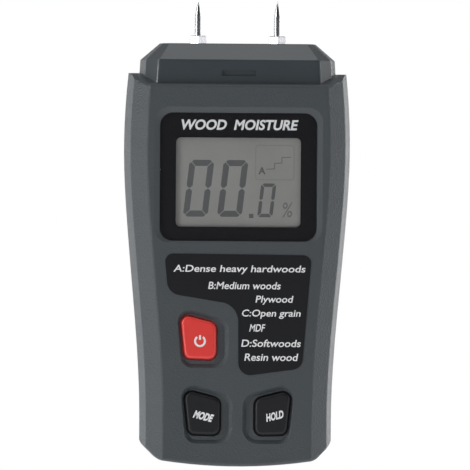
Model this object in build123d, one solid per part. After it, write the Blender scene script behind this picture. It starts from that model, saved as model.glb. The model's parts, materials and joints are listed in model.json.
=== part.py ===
from build123d import *
import os
from math import hypot, radians, tan

# A hand-held pin-type moisture meter, standing upright on its lower end.
# +Z runs towards the two electrode pins, the display and keys face -Y,
# and X runs across the width.  The origin is under the middle of its box.
# All sizes are in millimetres.

# ---- Housing: outline seen from the front ----
HALF_WIDTH_WAIST = 27.6      # straight lower stretch
HALF_WIDTH_GRIP = 29.2
HALF_WIDTH_SWELL = 31.4
HALF_WIDTH_WIDEST = 32.5
HALF_WIDTH_SHOULDER = 30.9
Z_WAIST = 13.0
Z_GRIP = 43.5
Z_SWELL = 68.5
Z_WIDEST = 88.0
Z_SHOULDER = 117.0
BOTTOM_SAG = 1.75            # rise of the shallow bottom arc at its ends
CORNER_WIDE = 5.1            # lower corner cut, across
CORNER_TALL = 5.1            # lower corner cut, upwards
CORNER_LEAN = 0.1            # how far the cut starts outside the waist
CORNER_ROUND = 4.0

# ---- Housing: section from front to back ----
FRONT_DEPTH = 12.2           # parting plane to the front panel
BACK_DEPTH = 12.8            # parting plane to the back panel
FRONT_BEVEL_DEPTH = 8.0      # where the front bevel starts
FRONT_SIDE_DRAFT = 1.6       # sideways draft up to the bevel
FRONT_BEVEL_INSET = 6.3      # panel edge inside the widest outline
BACK_BEVEL_DEPTH = 9.0
BACK_SIDE_DRAFT = 1.5
BACK_BEVEL_INSET = 5.4
WALL = 2.0
SHUT_LINE = 0.22             # little V groove along the parting line
CREASE_ROUND = 0.9
HEAD_ROUND = 0.6
HEAD_CORNER_ROUND = 1.4      # upright corners of its front and back faces
HEAD_FACE_CORNER = 0.8       # share of the half-depth past which an edge is a face corner

# ---- Shoulder and cap seat ----
LEDGE_FRONT_Z = 109.6        # ledge in front of and behind the head
LEDGE_SIDE_Z = 112.8         # top of its arch at the parting plane
LEDGE_FLAT = 0.2             # flat of the ledge in front of the head
HEAD_STRAIGHT_Z = 116.6
HEAD_TOP_Z = 121.4
HEAD_HALF_DEPTH = 10.2
HEAD_BOTTOM = (23.7, 27.1, 28.7)     # half-widths: front face, bevel, parting plane
HEAD_UPPER = (23.0, 26.6, 28.0)
HEAD_TOP = (19.8, 21.6, 22.4)
HEAD_UPPER_HALF_DEPTH = 9.9
HEAD_TOP_HALF_DEPTH = 5.7
HEAD_BEVEL_SHARE = 0.62              # depth of the bevel's outer edge
HEAD_CEILING = 2.4
DETENT_WIDTH = 9.8
DETENT_HEIGHT = 1.7
DETENT_DEPTH = 0.8
DETENT_Z = 112.9

# ---- Electrodes ----
PIN_SPACING = 22.8
PIN_RADIUS = 1.1
PIN_POINT = 4.6
PIN_BELLY = 0.09              # how far the point's side bulges past a straight cone
PIN_TIP_RADIUS = 0.06
PIN_REACH = 12.3             # tip above the head
PIN_SHANK_RADIUS = 0.85      # threaded shank inside the post
PIN_SOCKET = 5.2             # depth of the shank inside its post
COLLAR_ACROSS_FLATS = 4.6
COLLAR_HEIGHT = 2.3
STUD_RADIUS = 1.75
STUD_LENGTH = 8.6
STUD_NUT_ACROSS_FLATS = 6.0
STUD_NUT_HEIGHT = 2.0
SOLDER_TAG_THICK = 0.5
SOLDER_TAG_RADIUS = 3.1

# ---- Display ----
LENS_HALF_WIDTH = 22.5
LENS_BOTTOM = 64.7
LENS_TOP = 101.4
LENS_CORNER = 3.7
LENS_THICK = 0.8
LENS_SUNK = 0.5
RIM_SIDE = 1.7               # sloped rim of the recess, sides and top
RIM_BELOW = 0.7
VIEW_HALF_WIDTH = 17.9
VIEW_BOTTOM = 68.7
VIEW_TOP = 94.3
VIEW_MARGIN = 0.8            # housing window outside the clear view
GLASS_HALF_WIDTH = 20.3
GLASS_TOP = 96.9
GLASS_BOTTOM = 63.5
GLASS_THICK = 0.7
CONTACT_LEDGE = 3.4          # front glass standing out below the rear glass
FILM_THICK = 0.2
FILM_INSET = 0.7
FRAME_BORDER = 1.4
FRAME_OPENING_INSET = 3.0
ZEBRA_HEIGHT = 1.8

# ---- Label on the front panel: an L with unequal rounds ----
LABEL_THICK = 0.15
LABEL_OUTLINE = (
    ((-21.1, 61.0), 2.3),
    ((21.2, 60.7), 2.3),
    ((18.6, 28.3), 3.0),
    ((0.35, 25.7), 3.5),
    ((0.15, 46.3), 5.5),
    ((-20.0, 49.6), 4.0),
)

# ---- Keys: one leaning four-sided shape, about its own middle ----
KEY_OUTLINE = (((-5.7, 7.2), 2.6), ((5.7, 4.2), 2.9), ((5.7, -7.0), 2.6), ((-4.2, -6.7), 2.4))
DISH_OUTLINE = (((-6.4, 8.9), 3.6), ((8.8, 5.0), 4.4), ((8.8, -9.0), 4.4), ((-4.7, -9.0), 3.4))
KEY_PLACES = {"power": (-11.3, 37.2), "mode": (-10.1, 15.5), "hold": (10.4, 15.5)}
MIRRORED_KEYS = ("hold",)
KEY_GAP = 0.5
KEY_PROUD = 0.6
KEY_ROUND = 0.8
KEY_TRAVEL = 0.5
KEY_FLANGE = 0.9
KEY_FLANGE_THICK = 0.8
DISH_DEPTH = 1.0
DISH_SLOPE = 1.1             # width of the dish's sloping side
SWITCH_SIZE = 6.0
SWITCH_THICK = 2.5
SWITCH_LEG = 0.7
PLUNGER_RADIUS = 1.7
PLUNGER_CLEARANCE = 0.06
PLUNGER_GUIDE = 1.2          # length of the plunger inside its switch

# ---- Circuit board ----
BOARD_STANDOFF = 4.2         # front wall to board
BOARD_THICK = 1.6
BOARD_TOP = 102.0
BOARD_STEP_Z = 57.0
BOARD_BOTTOM = 6.5
BOARD_WIDE_HALF = 26.2
BOARD_NARROW_HALF = 15.6
BOARD_CORNER = 1.0
BOARD_SCREWS = ((-24.2, 61.0), (24.2, 61.0), (-24.2, 99.6), (24.2, 99.6), (0.0, 21.0))
BOARD_SCREW_RADIUS = 0.9
BOARD_SCREW_HEAD = 1.7
BOARD_SCREW_HEAD_THICK = 1.0
BOARD_SCREW_LENGTH = 4.8
BOARD_BOSS_RADIUS = 1.9

# ---- Housing screws, driven from the back ----
SCREW_PLACES = ((-24.0, 105.4), (24.0, 105.4), (-19.4, 8.6), (19.4, 8.6))
SCREW_RADIUS = 1.15
SCREW_HEAD_RADIUS = 2.0
SCREW_HEAD_THICK = 1.5
SCREW_LENGTH = 9.0
SCREW_SEAT_DEPTH = 5.0       # shoulder under the head, behind the parting plane
BOSS_RADIUS = 2.9
SCREW_CLEARANCE = 0.25

# ---- Batteries: two AAA cells side by side ----
CELL_RADIUS = 5.25
CELL_LENGTH = 44.5
CELL_NUB_RADIUS = 1.9
CELL_NUB = 0.9
CELL_GAP = 0.5               # between the two cells
CELL_CLEARANCE = 0.25
BAY_WALL = 1.2
BAY_BOTTOM = 9.4
CONTACT_THICK = 0.4
CONTACT_WIDTH = 8.0
SPRING_LENGTH = 4.6
SPRING_BASE = 3.4
SPRING_TIP = 2.3
SPRING_WIRE = 0.35
SPRING_TURNS = 3
TAB_WIDTH = 3.0
TAB_RISE = 4.2               # solder tab above the bay
TAB_DEPTH = 1.0

# ---- Battery door, sliding down and off ----
DOOR_HALF_WIDTH = 13.4
DOOR_TOP_GAP = 0.25
DOOR_OVERLAP = 2.6           # door above the bay
DOOR_SIDE_GAP = 0.12
TONGUE_REACH = 0.9
TONGUE_THICK = 0.9
TONGUE_SUNK = 0.8            # below the back panel
RAIL_WIDTH = 3.0
BACKING_THICK = 1.0          # plate behind the door
GRIP_RIDGES = 5
GRIP_PITCH = 1.8
GRIP_WIDTH = 13.0
GRIP_CUT = 0.9
GRIP_DEPTH = 0.4
GRIP_LOW_Z = 49.0
PAD_THICK = 0.35
PAD_SIZE = (18.0, 14.0)

# ---- Leads ----
LEAD_RADIUS = 0.6
ELECTRODE_PAD = (7.2, 99.0)
BATTERY_PAD = (13.0, 76.0)

# Worked-out places
INNER_FRONT = -FRONT_DEPTH + WALL
INNER_BACK = BACK_DEPTH - WALL
BOARD_FRONT = INNER_FRONT + BOARD_STANDOFF
BOARD_BACK = BOARD_FRONT + BOARD_THICK
LENS_FRONT = -FRONT_DEPTH + LENS_SUNK
LENS_BACK = LENS_FRONT + LENS_THICK
GLASS_FRONT = INNER_FRONT + FILM_THICK
GLASS_JOIN = GLASS_FRONT + GLASS_THICK
GLASS_BACK = GLASS_JOIN + GLASS_THICK
FOIL_BACK = GLASS_BACK + FILM_THICK
SWITCH_TOP = BOARD_FRONT - SWITCH_THICK
PLUNGER_TOP = SWITCH_TOP - KEY_TRAVEL - 0.3
FLANGE_BACK = INNER_FRONT + KEY_FLANGE_THICK
CELL_X = CELL_RADIUS + CELL_GAP / 2
CELL_Y = INNER_BACK - PAD_THICK - CELL_CLEARANCE - CELL_RADIUS
BAY_FLOOR = CELL_Y - CELL_RADIUS - CELL_CLEARANCE
BAY_HALF_WIDTH = CELL_X + CELL_RADIUS + CELL_CLEARANCE
BAY_TOP = BAY_BOTTOM + CONTACT_THICK + SPRING_LENGTH + CELL_LENGTH + CONTACT_THICK
DOOR_TOP = BAY_TOP + DOOR_OVERLAP
TONGUE_BACK = BACK_DEPTH - TONGUE_SUNK
TONGUE_FRONT = TONGUE_BACK - TONGUE_THICK
PIN_X = PIN_SPACING / 2
REACH = 60.0                 # past the housing on every side


# ---- Small helpers ----
def block(x_from, x_to, y_from, y_to, z_from, z_to):
    """A box between two corners."""
    size = (x_to - x_from, y_to - y_from, z_to - z_from)
    middle = ((x_from + x_to) / 2, (y_from + y_to) / 2, (z_from + z_to) / 2)
    return Pos(*middle) * Box(*size)


def rod(radius, y_from, y_to, x=0.0, z=0.0):
    """A cylinder along Y."""
    return Pos(x, (y_from + y_to) / 2, z) * Rot(X=90) * Cylinder(radius, abs(y_to - y_from))


def peg(radius, z_from, z_to, x=0.0, y=0.0):
    """A cylinder along Z."""
    return Pos(x, y, (z_from + z_to) / 2) * Cylinder(radius, z_to - z_from)


def front_plane(y):
    """The plane across the meter at one depth, with its local axes along X and Z."""
    return Plane.XZ.offset(-y)


def rounded_outline(corners, x=0.0, z=0.0, mirrored=False):
    """A flat outline from (corner, radius) pairs, moved to (x, z)."""
    side = -1 if mirrored else 1
    points = [(x + side * px, z + pz) for (px, pz), _ in corners]
    face = make_face(Polyline(*points, close=True))
    for (px, pz), (_, radius) in zip(points, corners):
        vertex = min(face.vertices(), key=lambda v: hypot(v.X - px, v.Y - pz))
        face = fillet(vertex, radius)
    return face


def slab(face, y_from, y_to):
    """An outline drawn across the meter, given a thickness along Y."""
    return extrude(front_plane(y_from) * face, y_to - y_from, dir=(0, 1, 0))


def rounded_rectangle(x_from, x_to, z_from, z_to, radius):
    """A rectangle across the meter with round corners."""
    face = RectangleRounded(x_to - x_from, z_to - z_from, radius)
    return Pos((x_from + x_to) / 2, (z_from + z_to) / 2) * face


# ---- Housing solids ----
def body_section(y, inset):
    """The long sides of the body at one depth, pulled in by inset, run out past both ends."""
    knots = (
        (HALF_WIDTH_WAIST, Z_WAIST),
        (HALF_WIDTH_GRIP, Z_GRIP),
        (HALF_WIDTH_SWELL, Z_SWELL),
        (HALF_WIDTH_WIDEST, Z_WIDEST),
        (HALF_WIDTH_SHOULDER, Z_SHOULDER),
    )
    knots = [(half_width - inset, z) for half_width, z in knots]
    foot = (knots[0][0], -WALL)
    flank = Spline(*knots, tangents=((0, 1), (-0.12, 1)))
    right = Line(foot, knots[0]) + flank
    left = mirror(right, Plane.YZ)
    top = Line(knots[-1], (-knots[-1][0], Z_SHOULDER))
    bottom = Line((-foot[0], foot[1]), foot)
    return front_plane(y) * make_face(right + top + left + bottom)


def end_outline(inset):
    """The lower end seen from the front: shallow arc and rounded corner cuts, pulled in by inset."""
    arc_half = HALF_WIDTH_WAIST - CORNER_WIDE
    heel = (HALF_WIDTH_WAIST + CORNER_LEAN, BOTTOM_SAG + CORNER_TALL)
    arc = ThreePointArc((-arc_half, BOTTOM_SAG), (0, 0), (arc_half, BOTTOM_SAG))
    right = Polyline((arc_half, BOTTOM_SAG), heel, (HALF_WIDTH_WIDEST + WALL, Z_SHOULDER))
    left = mirror(right, Plane.YZ)
    across = Line(right @ 1, left @ 1)
    face = make_face(arc + right + across + left)
    low_corners = [v for v in face.vertices() if v.Y < Z_WAIST]
    face = fillet(low_corners, CORNER_ROUND)
    return offset(face, -inset, kind=Kind.INTERSECTION) if inset else face


def side_profile():
    """The arched shoulder seen from the side, down to below the lower end."""
    reach = FRONT_DEPTH + BACK_DEPTH
    seat = HEAD_HALF_DEPTH + LEDGE_FLAT
    arch = ThreePointArc((seat, LEDGE_FRONT_Z), (0, LEDGE_SIDE_Z), (-seat, LEDGE_FRONT_Z))
    rest = Polyline(
        (-seat, LEDGE_FRONT_Z), (-reach, LEDGE_FRONT_Z), (-reach, -WALL),
        (reach, -WALL), (reach, LEDGE_FRONT_Z), (seat, LEDGE_FRONT_Z),
    )
    return Plane.YZ * make_face(arch + rest)


def inner_steps(bevel_depth, side_draft, bevel_inset, depth):
    """Depth and inset of a cavity's sections, one wall inside a drafted and bevelled side."""
    slope = side_draft / bevel_depth
    bevel_slope = (bevel_inset - side_draft) / (depth - bevel_depth)
    side_shift = WALL * hypot(1, slope)
    bevel_shift = WALL * hypot(1, bevel_slope)
    bend = (side_shift - side_draft - bevel_shift + bevel_slope * bevel_depth) / (bevel_slope - slope)
    floor = depth - WALL
    floor_inset = side_draft + bevel_shift + bevel_slope * (floor - bevel_depth)
    return ((0, side_shift), (bend, side_shift + slope * bend), (floor, floor_inset))


def body_half(direction, bevel_depth, side_draft, bevel_inset, depth):
    """One outer half of the body, from the parting plane to its flat panel."""
    steps = ((0, SHUT_LINE), (SHUT_LINE, 0), (bevel_depth, side_draft), (depth, bevel_inset))
    solid = loft([body_section(direction * y, inset) for y, inset in steps], ruled=True)
    solid = round_long_creases(solid, direction * bevel_depth)
    solid = round_long_creases(solid, direction * depth)
    solid = solid & extrude(Plane.XZ * end_outline(0), REACH, both=True)
    solid = solid & extrude(side_profile(), REACH, both=True)
    panel = solid.faces().sort_by(Axis.Y)[0 if direction < 0 else -1]
    short_edges = [e for e in panel.edges() if e.center().Z < Z_WAIST]
    short_edges += panel.edges().sort_by(Axis.Z)[-1:]
    return fillet(short_edges, CREASE_ROUND)


def round_long_creases(solid, y):
    """The creases along both long sides at one depth, rounded over."""
    tight = 0.01
    creases = [e for e in solid.edges() if abs(e.center().Y - y) < tight and abs(e.center().X) > WALL]
    return fillet(creases, CREASE_ROUND)


def body_cavity(direction, bevel_depth, side_draft, bevel_inset, depth):
    """The hollow of one half, one wall inside the outer body."""
    steps = inner_steps(bevel_depth, side_draft, bevel_inset, depth)
    solid = loft([body_section(direction * y, inset) for y, inset in steps], ruled=True)
    solid = solid & extrude(Plane.XZ * end_outline(WALL), REACH, both=True)
    return solid & block(-REACH, REACH, -REACH, REACH, 0, LEDGE_FRONT_Z - WALL)


def head_section(z, half_widths, half_depth, inset):
    """The cap seat from above at one height: flat front and back, bevels and drafted sides."""
    face_half, bevel_half, side_half = (width - inset for width in half_widths)
    face_depth = half_depth - inset
    bevel_depth = half_depth * HEAD_BEVEL_SHARE
    quarter = [(face_half, face_depth), (bevel_half, bevel_depth), (side_half, 0)]
    front_right = [(x, -y) for x, y in quarter]
    back_right = quarter[1::-1]
    right = front_right + back_right
    left = [(-x, y) for x, y in reversed(right)]
    return Plane.XY.offset(z) * make_face(Polyline(*right, *left, close=True))


def head_solid(inset, ceiling):
    """The cap seat: a drafted block with a steep chamfer all round its top."""
    sections = (
        (LEDGE_FRONT_Z - 2 * WALL, HEAD_BOTTOM, HEAD_HALF_DEPTH),
        (HEAD_STRAIGHT_Z, HEAD_UPPER, HEAD_UPPER_HALF_DEPTH),
        (HEAD_TOP_Z, HEAD_TOP, HEAD_TOP_HALF_DEPTH),
    )
    solid = loft([head_section(z, widths, depth, inset) for z, widths, depth in sections], ruled=True)
    return solid & block(-REACH, REACH, -REACH, REACH, 0, HEAD_TOP_Z - ceiling)


def front_measures():
    return FRONT_BEVEL_DEPTH, FRONT_SIDE_DRAFT, FRONT_BEVEL_INSET, FRONT_DEPTH


def back_measures():
    return BACK_BEVEL_DEPTH, BACK_SIDE_DRAFT, BACK_BEVEL_INSET, BACK_DEPTH


def head_uprights(solid, is_face_corner):
    """The upright edges of the head at its face corners, or those nearer the parting plane."""
    return [edge for edge in solid.edges()
            if LEDGE_FRONT_Z < edge.center().Z < HEAD_STRAIGHT_Z - 0.1
            and abs(edge.center().Y) > HEAD_HALF_DEPTH / 2
            and (abs(edge.center().Y) > HEAD_FACE_CORNER * HEAD_HALF_DEPTH) == is_face_corner]


def head_half(direction):
    """Outer head on one side of the parting plane: face corners well rounded, the rest lightly."""
    solid = fillet(head_uprights(head_solid(0, 0), True), HEAD_CORNER_ROUND)
    solid = fillet(head_uprights(solid, False), HEAD_ROUND)
    solid = fillet(solid.edges().filter_by(lambda e: e.center().Z > HEAD_STRAIGHT_Z - 0.1), HEAD_ROUND)
    return solid & block(-REACH, REACH, min(0, direction * REACH), max(0, direction * REACH), 0, REACH * 3)


def shell_half(direction, measures):
    """One moulded half: body and head, hollowed to an even wall."""
    outer = body_half(direction, *measures) + head_half(direction)
    return outer - body_cavity(direction, *measures) - head_solid(WALL, HEAD_CEILING)


def post_holes():
    """The two round holes in the head that the electrode studs pass through."""
    low = HEAD_TOP_Z - HEAD_CEILING - WALL
    return [peg(STUD_RADIUS, low, HEAD_TOP_Z + WALL, x) for x in (-PIN_X, PIN_X)]


# ---- Keys ----
def key_face(name, grow=0.0, outline=KEY_OUTLINE):
    """The outline of one key in its place, grown or shrunk all round."""
    x, z = KEY_PLACES[name]
    face = rounded_outline(outline, x, z, name in MIRRORED_KEYS)
    return offset(face, grow) if grow else face


def key_dish(name):
    """The flat hollow round one key's hole, with a sloping side up to the panel."""
    floor = front_plane(DISH_DEPTH - FRONT_DEPTH) * key_face(name, -DISH_SLOPE, DISH_OUTLINE)
    rim = front_plane(-FRONT_DEPTH) * key_face(name, outline=DISH_OUTLINE)
    return loft([floor, rim], ruled=True)


def key_button(name):
    """One key: rounded cap, flange behind the panel and a short foot on the switch."""
    cap = slab(key_face(name, -KEY_GAP), -FRONT_DEPTH - KEY_PROUD, FLANGE_BACK)
    rim = cap.faces().sort_by(Axis.Y)[0].edges()
    cap = fillet(rim, KEY_ROUND)
    flange = slab(key_face(name, KEY_FLANGE), INNER_FRONT, FLANGE_BACK)
    x, z = KEY_PLACES[name]
    return cap + flange + rod(PLUNGER_RADIUS, FLANGE_BACK, PLUNGER_TOP, x, z)


def switch_plunger(name):
    """The round plunger of one push switch."""
    x, z = KEY_PLACES[name]
    return rod(PLUNGER_RADIUS, PLUNGER_TOP, SWITCH_TOP + PLUNGER_GUIDE, x, z)


def switch_body(name):
    """One square push switch with four bent legs on the board."""
    x, z = KEY_PLACES[name]
    half = SWITCH_SIZE / 2
    body = block(x - half, x + half, SWITCH_TOP, BOARD_FRONT, z - half, z + half)
    bore_end = SWITCH_TOP + PLUNGER_GUIDE + KEY_TRAVEL + 2 * PLUNGER_CLEARANCE
    body -= rod(PLUNGER_RADIUS + PLUNGER_CLEARANCE, SWITCH_TOP - 1, bore_end, x, z)
    for leg_z in (z - half * 0.7, z + half * 0.7):
        low, high = leg_z - SWITCH_LEG / 2, leg_z + SWITCH_LEG / 2
        body += block(x - half - 1, x + half + 1, BOARD_FRONT - 0.25, BOARD_FRONT, low, high)
    return body


# ---- Shells ----
def lens_face(grow=0.0):
    """The outline of the display lens, grown all round."""
    half = LENS_HALF_WIDTH + grow
    return rounded_rectangle(-half, half, LENS_BOTTOM - grow, LENS_TOP + grow, LENS_CORNER + grow)


def lens_recess():
    """The pocket for the lens with its sloped rim, and the window behind it."""
    half = LENS_HALF_WIDTH + RIM_SIDE
    rim_face = rounded_rectangle(-half, half, LENS_BOTTOM - RIM_BELOW, LENS_TOP + RIM_SIDE,
                                 LENS_CORNER + RIM_BELOW)
    seat = front_plane(LENS_FRONT) * lens_face(SHUT_LINE / 2)
    slope = loft([seat, front_plane(-FRONT_DEPTH) * rim_face], ruled=True)
    pocket = slab(lens_face(SHUT_LINE / 2), LENS_FRONT, LENS_BACK)
    view_half = VIEW_HALF_WIDTH + VIEW_MARGIN
    window = block(-view_half, view_half, LENS_BACK - 1, INNER_FRONT + 1,
                   VIEW_BOTTOM - VIEW_MARGIN, VIEW_TOP + VIEW_MARGIN)
    return slope + pocket + window


def front_shell():
    """The front half with the display window, key holes and all its bosses."""
    shell = shell_half(-1, front_measures())
    shell -= lens_recess()
    for name in KEY_PLACES:
        shell -= key_dish(name)
        shell -= slab(key_face(name), -FRONT_DEPTH, INNER_FRONT + 1)
    half = DETENT_WIDTH / 2
    shell -= block(-half, half, -HEAD_HALF_DEPTH - 1, -HEAD_HALF_DEPTH + DETENT_DEPTH,
                   DETENT_Z - DETENT_HEIGHT / 2, DETENT_Z + DETENT_HEIGHT / 2)
    for x, z in BOARD_SCREWS:
        shell += rod(BOARD_BOSS_RADIUS, INNER_FRONT, BOARD_FRONT, x, z)
    for x, z in SCREW_PLACES:
        shell += rod(BOSS_RADIUS, INNER_FRONT, 0, x, z)
    for x, z in BOARD_SCREWS:
        shell -= rod(BOARD_SCREW_RADIUS, BOARD_BACK - BOARD_SCREW_LENGTH, BOARD_FRONT, x, z)
    for x, z in SCREW_PLACES:
        shell -= rod(SCREW_RADIUS, SCREW_SEAT_DEPTH - SCREW_LENGTH, 0, x, z)
    return shell - post_holes()


def battery_bay():
    """The box that holds the two cells, open towards the door."""
    half = BAY_HALF_WIDTH
    outer = block(-half - BAY_WALL, half + BAY_WALL, BAY_FLOOR - BAY_WALL, INNER_BACK,
                  BAY_BOTTOM - BAY_WALL, BAY_TOP + BAY_WALL)
    return outer - block(-half, half, BAY_FLOOR, BACK_DEPTH, BAY_BOTTOM, BAY_TOP)


def door_backing():
    """The plate behind the door and its rails, open over the cells."""
    half = DOOR_HALF_WIDTH + RAIL_WIDTH
    plate_front = INNER_BACK - BACKING_THICK
    backing = block(-half, half, plate_front, INNER_BACK, 0, DOOR_TOP + WALL)
    return backing - block(-BAY_HALF_WIDTH, BAY_HALF_WIDTH, plate_front, INNER_BACK, BAY_BOTTOM, BAY_TOP)


def pad_channel():
    """The shallow channel that the foam pad slides out through, below the cells."""
    half = PAD_SIZE[0] / 2 + CELL_CLEARANCE
    front = INNER_BACK - PAD_THICK - CELL_CLEARANCE
    return block(-half, half, front, INNER_BACK, -WALL, BAY_BOTTOM)


def door_opening(gap):
    """The space of the door with its side tongues, run out below the lower end."""
    half = DOOR_HALF_WIDTH + gap
    top = DOOR_TOP + (DOOR_TOP_GAP if gap else 0)
    panel = block(-half, half, INNER_BACK, BACK_DEPTH + 1, -WALL, top)
    reach = half + TONGUE_REACH
    tongues = block(-reach, reach, TONGUE_FRONT - gap, TONGUE_BACK + gap, -WALL, top)
    return panel + tongues


def rear_shell():
    """The back half with the battery bay, door rails and screw sleeves."""
    shell = shell_half(1, back_measures())
    shell += battery_bay()
    shell += door_backing() & body_half(1, *back_measures())
    for x, z in SCREW_PLACES:
        shell += rod(BOSS_RADIUS, 0, INNER_BACK, x, z)
    for x, z in SCREW_PLACES:
        shell -= rod(SCREW_HEAD_RADIUS + SCREW_CLEARANCE, SCREW_SEAT_DEPTH, BACK_DEPTH + 1, x, z)
        shell -= rod(SCREW_RADIUS + SCREW_CLEARANCE, 0, SCREW_SEAT_DEPTH, x, z)
    shell -= door_opening(DOOR_SIDE_GAP)
    shell -= pad_channel()
    for side in (-1, 1):
        shell -= tab_slot(side)
    return shell - post_holes()


def battery_door():
    """The sliding door: flush panel, side tongues and a ridged grip."""
    body = body_half(1, *back_measures())
    door = door_opening(0) & body
    for ridge in range(GRIP_RIDGES):
        z = GRIP_LOW_Z + ridge * GRIP_PITCH
        door -= block(-GRIP_WIDTH / 2, GRIP_WIDTH / 2, BACK_DEPTH - GRIP_DEPTH, BACK_DEPTH + 1,
                      z, z + GRIP_CUT)
    return door


def door_pad():
    """The foam pad inside the door that quiets the cells."""
    width, height = PAD_SIZE
    middle = (BAY_BOTTOM + BAY_TOP) / 2
    return block(-width / 2, width / 2, INNER_BACK - PAD_THICK, INNER_BACK,
                 middle - height / 2, middle + height / 2)


# ---- Display ----
def display_lens():
    """The clear lens over the display."""
    lens = slab(lens_face(), LENS_FRONT, LENS_BACK)
    return fillet(lens.faces().sort_by(Axis.Y)[0].edges(), SHUT_LINE / 2)


def glass_plate(y_from, y_to, low, inset=0.0):
    """One flat layer of the display."""
    half = GLASS_HALF_WIDTH - inset
    return block(-half, half, y_from, y_to, low + inset, GLASS_TOP - inset)


def display_frame():
    """The moulded frame that holds the display glass on the board."""
    half = GLASS_HALF_WIDTH + FRAME_BORDER
    frame = block(-half, half, INNER_FRONT, BOARD_FRONT,
                  GLASS_BOTTOM - FRAME_BORDER, GLASS_TOP + FRAME_BORDER)
    rear_low = GLASS_BOTTOM + CONTACT_LEDGE
    frame -= glass_plate(INNER_FRONT, GLASS_JOIN, GLASS_BOTTOM)
    frame -= glass_plate(GLASS_JOIN, FOIL_BACK, rear_low)
    frame -= glass_plate(FOIL_BACK, BOARD_FRONT, rear_low, FRAME_OPENING_INSET)
    return frame - zebra_strip()


def zebra_strip():
    """The elastic connector between the display's contact ledge and the board."""
    middle = GLASS_BOTTOM + CONTACT_LEDGE / 2
    half = GLASS_HALF_WIDTH - FRAME_BORDER
    return block(-half, half, GLASS_JOIN, BOARD_FRONT,
                 middle - ZEBRA_HEIGHT / 2, middle + ZEBRA_HEIGHT / 2)


def species_label():
    """The thin printed label on the front panel."""
    return slab(rounded_outline(LABEL_OUTLINE), -FRONT_DEPTH - LABEL_THICK, -FRONT_DEPTH)


# ---- Circuit board and what is on it ----
def main_board():
    """The circuit board: wide behind the display, narrow behind the keys."""
    wide = Polyline(
        (-BOARD_NARROW_HALF, BOARD_BOTTOM), (BOARD_NARROW_HALF, BOARD_BOTTOM),
        (BOARD_NARROW_HALF, BOARD_STEP_Z), (BOARD_WIDE_HALF, BOARD_STEP_Z),
        (BOARD_WIDE_HALF, BOARD_TOP), (-BOARD_WIDE_HALF, BOARD_TOP),
        (-BOARD_WIDE_HALF, BOARD_STEP_Z), (-BOARD_NARROW_HALF, BOARD_STEP_Z), close=True,
    )
    face = make_face(wide)
    face = fillet(face.vertices(), BOARD_CORNER)
    board = slab(face, BOARD_FRONT, BOARD_BACK)
    for x, z in BOARD_SCREWS:
        board -= rod(BOARD_SCREW_RADIUS, BOARD_FRONT - 1, BOARD_BACK + 1, x, z)
    return board


def board_screws():
    """The small screws that hold the board to the front shell."""
    screws = []
    for x, z in BOARD_SCREWS:
        head = rod(BOARD_SCREW_HEAD, BOARD_BACK, BOARD_BACK + BOARD_SCREW_HEAD_THICK, x, z)
        shank = rod(BOARD_SCREW_RADIUS, BOARD_BACK - BOARD_SCREW_LENGTH, BOARD_BACK, x, z)
        screws.append(head + shank - cross_recess(BOARD_BACK + BOARD_SCREW_HEAD_THICK, 1.8, x, z))
    return screws


def housing_screws():
    """The four longer screws that join the two shells."""
    screws = []
    for x, z in SCREW_PLACES:
        head_end = SCREW_SEAT_DEPTH + SCREW_HEAD_THICK
        head = rod(SCREW_HEAD_RADIUS, SCREW_SEAT_DEPTH, head_end, x, z)
        shank = rod(SCREW_RADIUS, SCREW_SEAT_DEPTH - SCREW_LENGTH, SCREW_SEAT_DEPTH, x, z)
        screws.append(head + shank - cross_recess(head_end, 2.4, x, z))
    return screws


def cross_recess(y_top, span, x, z):
    """The cross-shaped recess of a screw head."""
    depth = 0.7
    arm = 0.45
    flat = block(x - span / 2, x + span / 2, y_top - depth, y_top + 1, z - arm / 2, z + arm / 2)
    upright = block(x - arm / 2, x + arm / 2, y_top - depth, y_top + 1, z - span / 2, z + span / 2)
    return flat + upright


def chip(x, z, size, thick, legs, leg_pitch, sides):
    """A flat chip on the back of the board with rows of bent legs."""
    half = size / 2
    lift = 0.1
    body = block(x - half, x + half, BOARD_BACK + lift, BOARD_BACK + lift + thick, z - half, z + half)
    leg_reach = 1.0
    leg_half = leg_pitch * 0.25
    for leg in range(legs):
        along = (leg - (legs - 1) / 2) * leg_pitch
        body += block(x - half - leg_reach, x + half + leg_reach, BOARD_BACK, BOARD_BACK + 0.3,
                      z + along - leg_half, z + along + leg_half)
        if sides == 4:
            body += block(x + along - leg_half, x + along + leg_half, BOARD_BACK, BOARD_BACK + 0.3,
                          z - half - leg_reach, z + half + leg_reach)
    return body


def controller_chip():
    """The display controller, with legs on all four sides."""
    return chip(-1.0, 84.0, 9.0, 1.4, 8, 1.0, 4)


def amplifier_chip():
    """The electrode amplifier, with legs on two sides."""
    return chip(-12.0, 93.0, 4.4, 1.3, 4, 1.1, 2)


def chip_row(count, pitch, x, z, size):
    """A row of small two-ended parts on the back of the board."""
    width, height, thick = size
    row = []
    for place in range(count):
        left = x + place * pitch
        row.append(block(left, left + width, BOARD_BACK, BOARD_BACK + thick, z, z + height))
    return row


def resistors():
    """Two rows of chip resistors."""
    size = (0.9, 1.7, 0.5)
    return chip_row(6, 2.2, -6.5, 92.4, size) + chip_row(5, 2.2, 9.5, 82.0, size)


def capacitors():
    """Two rows of chip capacitors."""
    size = (1.25, 2.0, 0.9)
    return chip_row(4, 2.6, -19.5, 85.5, size) + chip_row(3, 2.6, -4.5, 71.5, size)


def crystal():
    """The oval crystal can, lying on the board."""
    outline = SlotOverall(10.5, 4.2)
    can = extrude(front_plane(BOARD_BACK) * (Pos(-18.5, 69.5) * outline), 3.4, dir=(0, 1, 0))
    return fillet(can.faces().sort_by(Axis.Y)[-1].edges(), 0.4)


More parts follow.
